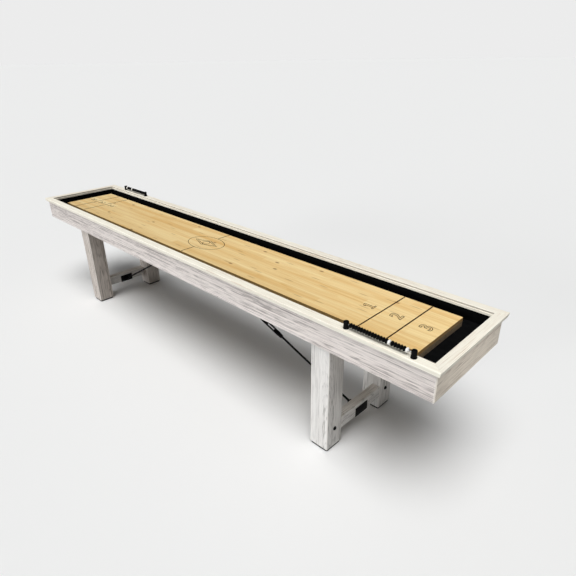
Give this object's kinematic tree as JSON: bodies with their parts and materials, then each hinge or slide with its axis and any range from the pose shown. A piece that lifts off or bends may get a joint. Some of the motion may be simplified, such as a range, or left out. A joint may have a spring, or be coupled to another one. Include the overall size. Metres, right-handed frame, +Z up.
{
  "type": "shuffleboard table",
  "caption": "Long whitewashed shuffleboard table with a raised maple playfield in a black carpeted gutter, on two trestles with turnbuckle braces and abacus scorers on the rails.",
  "frame": {"origin": "on the floor, under the middle of the table", "axes": "+X along the table, +Y from the front long side to the rear, +Z up"},
  "size_m": [3.658, 0.635, 0.811],
  "materials": {
    "whitewash": "whitewashed pine with its grain showing, satin",
    "cap_wood": "warm white washed wood, satin",
    "maple": "clear lacquered maple strips",
    "backing": "raw brown board edge",
    "plywood": "raw plywood",
    "carpet": "short black looped carpet",
    "black_steel": "black powder coat, satin",
    "black_plastic": "satin",
    "white_plastic": "gloss",
    "bright_steel": "drawn rod, satin",
    "foot_plastic": "matt"
  },
  "bodies": {
    "table": {"centre_stiffener": "plywood", "deck_panel": "plywood", "front_apron": "whitewash", "front_gutter_lining": "carpet", "front_rail_cap": "cap_wood", "front_scorer_inner_post": "black_plastic", "front_scorer_outer_post": "black_plastic", "front_scorer_rod": "bright_steel", "left_apron": "whitewash", "left_brace_foot_bolt": "black_steel", "left_brace_head_bolt": "black_steel", "left_brace_head_bracket": "black_steel", "left_brace_lower_rod": "black_steel", "left_brace_saddle": "black_steel", "left_brace_upper_rod": "black_steel", "left_front_post": "whitewash", "left_front_post_bolt": "black_steel", "left_gutter_lining": "carpet", "left_rail_cap": "cap_wood", "left_rear_post": "whitewash", "left_rear_post_bolt": "black_steel", "left_stretcher": "whitewash", "left_top_beam": "whitewash", "playfield_backing": "backing", "playfield_slab": "maple", "rear_apron": "whitewash", "rear_gutter_lining": "carpet", "rear_rail_cap": "cap_wood", "rear_scorer_inner_post": "black_plastic", "rear_scorer_outer_post": "black_plastic", "rear_scorer_rod": "bright_steel", "right_apron": "whitewash", "right_brace_foot_bolt": "black_steel", "right_brace_head_bolt": "black_steel", "right_brace_head_bracket": "black_steel", "right_brace_lower_rod": "black_steel", "right_brace_saddle": "black_steel", "right_brace_upper_rod": "black_steel", "right_front_post": "whitewash", "right_front_post_bolt": "black_steel", "right_gutter_lining": "carpet", "right_rail_cap": "cap_wood", "right_rear_post": "whitewash", "right_rear_post_bolt": "black_steel", "right_stretcher": "whitewash", "right_top_beam": "whitewash"},
    "left_front_leveler": {"left_front_leveler": "foot_plastic"},
    "left_rear_leveler": {"left_rear_leveler": "foot_plastic"},
    "right_front_leveler": {"right_front_leveler": "foot_plastic"},
    "right_rear_leveler": {"right_rear_leveler": "foot_plastic"},
    "left_turnbuckle": {"left_turnbuckle": "black_steel"},
    "right_turnbuckle": {"right_turnbuckle": "black_steel"},
    "front_scorer_long_black_beads": {"front_scorer_long_black_beads": "black_plastic"},
    "front_scorer_middle_white_bead": {"front_scorer_middle_white_bead": "white_plastic"},
    "front_scorer_short_black_beads": {"front_scorer_short_black_beads": "black_plastic"},
    "front_scorer_end_white_bead": {"front_scorer_end_white_bead": "white_plastic"},
    "rear_scorer_long_black_beads": {"rear_scorer_long_black_beads": "black_plastic"},
    "rear_scorer_middle_white_bead": {"rear_scorer_middle_white_bead": "white_plastic"},
    "rear_scorer_short_black_beads": {"rear_scorer_short_black_beads": "black_plastic"},
    "rear_scorer_end_white_bead": {"rear_scorer_end_white_bead": "white_plastic"}
  },
  "joints": [
    {"name": "left_front_leveler_screw_out", "type": "slide", "parent": "table", "child": "left_front_leveler", "axis": [0, 0, -1], "range_m": [0, 0.02]},
    {"name": "left_rear_leveler_screw_out", "type": "slide", "parent": "table", "child": "left_rear_leveler", "axis": [0, 0, -1], "range_m": [0, 0.02]},
    {"name": "right_front_leveler_screw_out", "type": "slide", "parent": "table", "child": "right_front_leveler", "axis": [0, 0, -1], "range_m": [0, 0.02]},
    {"name": "right_rear_leveler_screw_out", "type": "slide", "parent": "table", "child": "right_rear_leveler", "axis": [0, 0, -1], "range_m": [0, 0.02]},
    {"name": "left_turnbuckle_turn", "type": "hinge", "parent": "table", "child": "left_turnbuckle", "pos_m": [-1.212, 0, 0.113], "axis": [0.8563, 0.14, 0.4972], "range_deg": [-360, 360]},
    {"name": "right_turnbuckle_turn", "type": "hinge", "parent": "table", "child": "right_turnbuckle", "pos_m": [1.212, 0, 0.113], "axis": [-0.8563, -0.14, 0.4972], "range_deg": [-360, 360]},
    {"name": "front_scorer_long_black_beads_slide", "type": "slide", "parent": "table", "child": "front_scorer_long_black_beads", "axis": [1, 0, 0], "range_m": [-0.005, 0.0026]},
    {"name": "front_scorer_middle_white_bead_slide", "type": "slide", "parent": "front_scorer_long_black_beads", "child": "front_scorer_middle_white_bead", "axis": [1, 0, 0], "range_m": [0, 0.0026]},
    {"name": "front_scorer_short_black_beads_slide", "type": "slide", "parent": "front_scorer_middle_white_bead", "child": "front_scorer_short_black_beads", "axis": [1, 0, 0], "range_m": [0, 0.0026]},
    {"name": "front_scorer_end_white_bead_slide", "type": "slide", "parent": "front_scorer_short_black_beads", "child": "front_scorer_end_white_bead", "axis": [1, 0, 0], "range_m": [0, 0.0026]},
    {"name": "rear_scorer_long_black_beads_slide", "type": "slide", "parent": "table", "child": "rear_scorer_long_black_beads", "axis": [-1, 0, 0], "range_m": [-0.005, 0.0026]},
    {"name": "rear_scorer_middle_white_bead_slide", "type": "slide", "parent": "rear_scorer_long_black_beads", "child": "rear_scorer_middle_white_bead", "axis": [-1, 0, 0], "range_m": [0, 0.0026]},
    {"name": "rear_scorer_short_black_beads_slide", "type": "slide", "parent": "rear_scorer_middle_white_bead", "child": "rear_scorer_short_black_beads", "axis": [-1, 0, 0], "range_m": [0, 0.0026]},
    {"name": "rear_scorer_end_white_bead_slide", "type": "slide", "parent": "rear_scorer_short_black_beads", "child": "rear_scorer_end_white_bead", "axis": [-1, 0, 0], "range_m": [0, 0.0026]}
  ]
}
